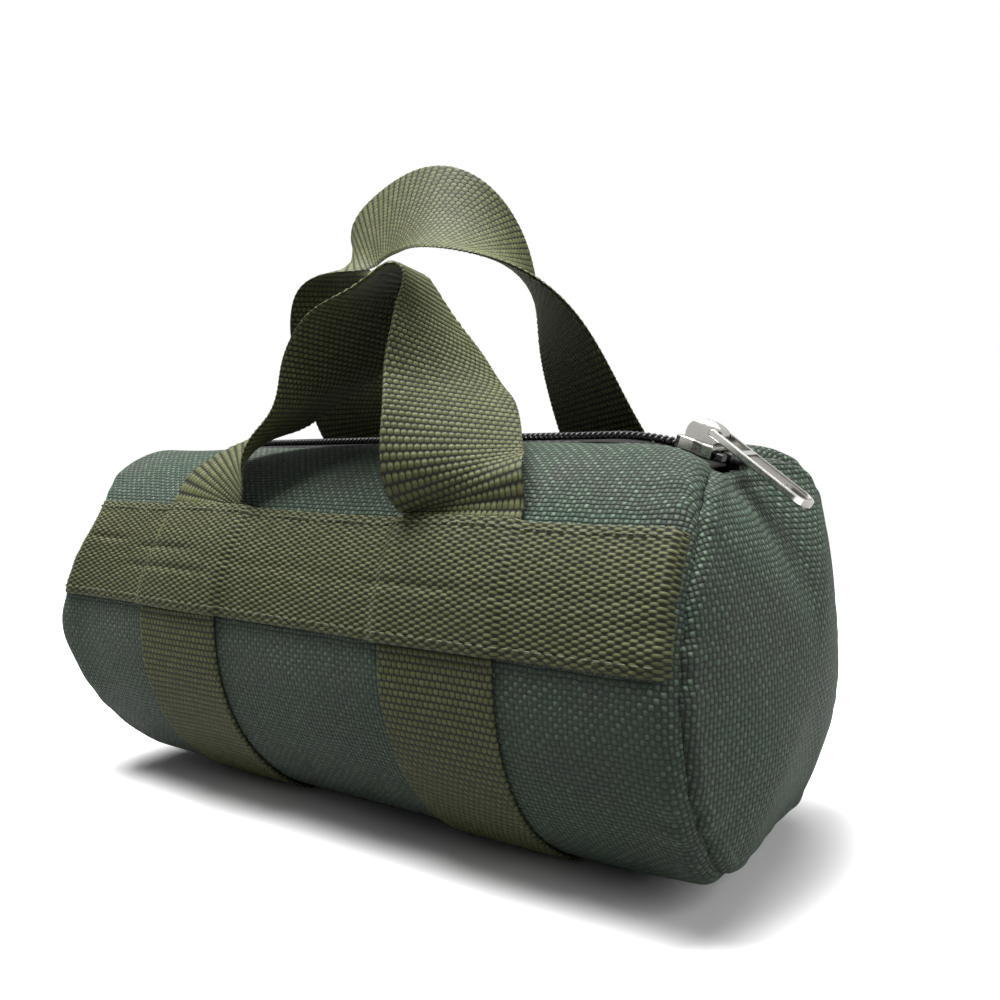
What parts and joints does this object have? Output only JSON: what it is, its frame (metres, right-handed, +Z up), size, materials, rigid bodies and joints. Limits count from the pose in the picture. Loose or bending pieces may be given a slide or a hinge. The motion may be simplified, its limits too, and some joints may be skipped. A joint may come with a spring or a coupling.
{
  "type": "zippered tool bag",
  "caption": "Small barrel-shaped canvas tool bag with webbing handles, side bands and belly straps, and a zipper along the top with a metal slider and long pull.",
  "frame": {"origin": "on the floor, under the middle of the bag", "axes": "+X along the bag towards the closed end of the zipper, -Y the pictured front, +Z up"},
  "size_m": [0.24, 0.1166, 0.1922],
  "materials": {
    "canvas": "coarse woven canvas",
    "binding": "woven binding tape",
    "webbing": "coarse woven webbing",
    "zipper_tape": "woven zipper tape",
    "zipper_coil": "nylon coil",
    "stop_metal": "pressed metal",
    "slider_metal": "polished die-cast metal",
    "spring_steel": "spring steel"
  },
  "bodies": {
    "bag": {"body_panel": "canvas", "left_end_panel": "canvas", "right_end_panel": "canvas", "left_seam_binding": "binding", "right_seam_binding": "binding", "front_side_band": "webbing", "rear_side_band": "webbing", "left_belly_strap": "webbing", "right_belly_strap": "webbing", "front_zipper_tape": "zipper_tape", "rear_zipper_tape": "zipper_tape", "front_zipper_coil": "zipper_coil", "rear_zipper_coil": "zipper_coil", "zipper_top_stops": "stop_metal", "zipper_bottom_stop": "stop_metal"},
    "slider": {"slider_body": "slider_metal", "slider_crown": "slider_metal", "slider_lock_spring": "spring_steel"},
    "pull": {"zipper_pull": "slider_metal"},
    "front_loop": {"front_handle": "webbing"},
    "rear_loop": {"rear_handle": "webbing"}
  },
  "joints": [
    {"name": "slider_travel", "type": "slide", "parent": "bag", "child": "slider", "axis": [-0.9998, 0, 0.0194], "range_m": [0, 0.17], "deforming": ["front_zipper_tape", "rear_zipper_tape", "front_zipper_coil", "rear_zipper_coil"]},
    {"name": "pull_hinge", "type": "hinge", "parent": "slider", "child": "pull", "pos_m": [0.09534, 0, 0.10789], "axis": [0, -1, 0], "range_deg": [0, 200]},
    {"name": "front_handle_fold", "type": "hinge", "parent": "bag", "child": "front_loop", "pos_m": [0, -0.04156, 0.09235], "axis": [1, 0, 0], "range_deg": [0, 40]},
    {"name": "rear_handle_fold", "type": "hinge", "parent": "bag", "child": "rear_loop", "pos_m": [0, 0.04156, 0.09235], "axis": [-1, 0, 0], "range_deg": [0, 110]}
  ]
}
